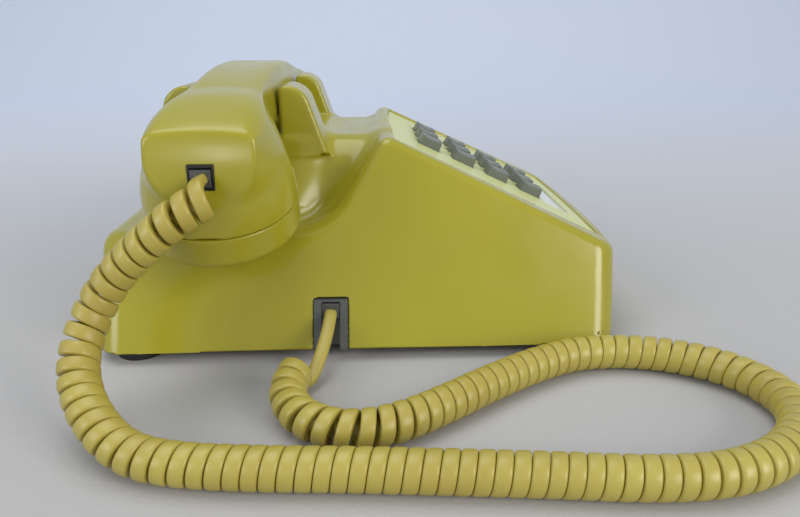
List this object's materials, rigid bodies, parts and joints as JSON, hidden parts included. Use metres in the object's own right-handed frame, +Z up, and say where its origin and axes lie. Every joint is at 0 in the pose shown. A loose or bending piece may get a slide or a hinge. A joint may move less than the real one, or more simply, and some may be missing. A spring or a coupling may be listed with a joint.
{
  "type": "corded desk telephone",
  "caption": "Push-button desk telephone with a sloping keypad, a cradle with four ears, and a lift-off handset on a curly cord.",
  "frame": {"origin": "middle of the telephone's footprint, on the surface that it stands on; the cord isn't counted", "axes": "+X to the user's right, +Y to the rear, +Z up; the keypad faces the front and the handset lies along X"},
  "size_m": [0.3148, 0.2715, 0.117],
  "materials": {
    "housing_abs": "glossy moulded olive-green ABS",
    "handset_abs": "glossy moulded olive-green ABS",
    "faceplate_abs": "satin moulded pale green ABS",
    "key_abs": "smooth moulded grey-green ABS",
    "foot_rubber": "matt moulded rubber",
    "base_steel": "zinc-plated pressed steel",
    "screw_steel": "zinc-plated turned steel",
    "card_paper": "matt white card",
    "window_clear": "clear moulded acrylic",
    "works_plastic": "moulded nylon and phenolic",
    "board": "paper-phenolic circuit board",
    "coil_wire": "varnished copper winding",
    "gong_brass": "spun brass",
    "base_jack_plastic": "moulded dark grey nylon",
    "handset_jack_plastic": "moulded black nylon",
    "plug_clear": "clear moulded polycarbonate",
    "unit_metal": "stamped aluminium",
    "cord_jacket": "extruded soft PVC"
  },
  "bodies": {
    "base": {"housing": "housing_abs", "faceplate": "faceplate_abs", "foot_front_left": "foot_rubber", "foot_front_right": "foot_rubber", "foot_rear_left": "foot_rubber", "foot_rear_right": "foot_rubber", "base_plate": "base_steel", "tray_bracket_left": "base_steel", "tray_bracket_right": "base_steel", "hook_frame": "base_steel", "ringer_frame": "base_steel", "wheel_bracket": "base_steel", "housing_screws": "screw_steel", "gong_screws": "screw_steel", "hook_pin": "screw_steel", "clapper_pin": "screw_steel", "wheel_pin": "screw_steel", "key_springs": "screw_steel", "number_card": "card_paper", "card_window": "window_clear", "key_tray": "works_plastic", "hook_contacts": "works_plastic", "network_block": "works_plastic", "keypad_board": "board", "ringer_coil": "coil_wire", "gong_left": "gong_brass", "gong_right": "gong_brass", "base_jack": "base_jack_plastic", "line_jack": "base_jack_plastic", "base_plug": "plug_clear", "cord_coil": "cord_jacket", "cord_lead_base": "cord_jacket", "cord_lead_handset": "cord_jacket"},
    "handset": {"handset_handle": "handset_abs", "handset_jack": "handset_jack_plastic", "handset_plug": "plug_clear", "transmitter_cap": "handset_abs", "receiver_cap": "handset_abs", "transmitter_unit": "unit_metal", "transmitter_cup": "works_plastic", "receiver_unit": "unit_metal"},
    "key_1_body": {"key_1": "key_abs"},
    "key_2_body": {"key_2": "key_abs"},
    "key_3_body": {"key_3": "key_abs"},
    "key_4_body": {"key_4": "key_abs"},
    "key_5_body": {"key_5": "key_abs"},
    "key_6_body": {"key_6": "key_abs"},
    "key_7_body": {"key_7": "key_abs"},
    "key_8_body": {"key_8": "key_abs"},
    "key_9_body": {"key_9": "key_abs"},
    "key_star_body": {"key_star": "key_abs"},
    "key_0_body": {"key_0": "key_abs"},
    "key_pound_body": {"key_pound": "key_abs"},
    "plunger_left_body": {"plunger_left": "works_plastic"},
    "plunger_right_body": {"plunger_right": "works_plastic"},
    "hook_lever_body": {"hook_lever": "works_plastic"},
    "clapper_body": {"clapper": "base_steel"},
    "volume_wheel_body": {"volume_wheel": "works_plastic"}
  },
  "joints": [
    {"name": "handset_lift", "type": "slide", "parent": "base", "child": "handset", "axis": [0, 0, 1], "range_m": [0, 0.06]},
    {"name": "plunger_left_rise", "type": "slide", "parent": "base", "child": "plunger_left_body", "axis": [0, 0, 1], "range_m": [0, 0.0062]},
    {"name": "plunger_right_rise", "type": "slide", "parent": "base", "child": "plunger_right_body", "axis": [0, 0, 1], "range_m": [0, 0.0062]},
    {"name": "hook_lever_rock", "type": "hinge", "parent": "base", "child": "hook_lever_body", "pos_m": [0, 0.0865, 0.052], "axis": [-1, 0, 0], "range_deg": [0, 12]},
    {"name": "key_1_press", "type": "slide", "parent": "base", "child": "key_1_body", "axis": [0, 0.4226, -0.9063], "range_m": [0, 0.0025], "stiffness_N_per_m": 220},
    {"name": "key_2_press", "type": "slide", "parent": "base", "child": "key_2_body", "axis": [0, 0.4226, -0.9063], "range_m": [0, 0.0025], "stiffness_N_per_m": 220},
    {"name": "key_3_press", "type": "slide", "parent": "base", "child": "key_3_body", "axis": [0, 0.4226, -0.9063], "range_m": [0, 0.0025], "stiffness_N_per_m": 220},
    {"name": "key_4_press", "type": "slide", "parent": "base", "child": "key_4_body", "axis": [0, 0.4226, -0.9063], "range_m": [0, 0.0025], "stiffness_N_per_m": 220},
    {"name": "key_5_press", "type": "slide", "parent": "base", "child": "key_5_body", "axis": [0, 0.4226, -0.9063], "range_m": [0, 0.0025], "stiffness_N_per_m": 220},
    {"name": "key_6_press", "type": "slide", "parent": "base", "child": "key_6_body", "axis": [0, 0.4226, -0.9063], "range_m": [0, 0.0025], "stiffness_N_per_m": 220},
    {"name": "key_7_press", "type": "slide", "parent": "base", "child": "key_7_body", "axis": [0, 0.4226, -0.9063], "range_m": [0, 0.0025], "stiffness_N_per_m": 220},
    {"name": "key_8_press", "type": "slide", "parent": "base", "child": "key_8_body", "axis": [0, 0.4226, -0.9063], "range_m": [0, 0.0025], "stiffness_N_per_m": 220},
    {"name": "key_9_press", "type": "slide", "parent": "base", "child": "key_9_body", "axis": [0, 0.4226, -0.9063], "range_m": [0, 0.0025], "stiffness_N_per_m": 220},
    {"name": "key_star_press", "type": "slide", "parent": "base", "child": "key_star_body", "axis": [0, 0.4226, -0.9063], "range_m": [0, 0.0025], "stiffness_N_per_m": 220},
    {"name": "key_0_press", "type": "slide", "parent": "base", "child": "key_0_body", "axis": [0, 0.4226, -0.9063], "range_m": [0, 0.0025], "stiffness_N_per_m": 220},
    {"name": "key_pound_press", "type": "slide", "parent": "base", "child": "key_pound_body", "axis": [0, 0.4226, -0.9063], "range_m": [0, 0.0025], "stiffness_N_per_m": 220},
    {"name": "clapper_swing", "type": "hinge", "parent": "base", "child": "clapper_body", "pos_m": [0, -0.027, 0.022], "axis": [0, 0, 1], "range_deg": [-2.4, 2.4], "stiffness_Nm_per_rad": 0.002},
    {"name": "volume_wheel_turn", "type": "hinge", "parent": "base", "child": "volume_wheel_body", "pos_m": [0.062, 0.005, 0.016], "axis": [1, 0, 0], "range_deg": [0, 90]}
  ],
  "couplings": [
    {"joint": "plunger_left_rise", "follows": "handset_lift", "ratio": 0.1},
    {"joint": "plunger_right_rise", "follows": "handset_lift", "ratio": 0.1},
    {"joint": "hook_lever_rock", "follows": "handset_lift", "rad_per_m": 3.3333}
  ]
}
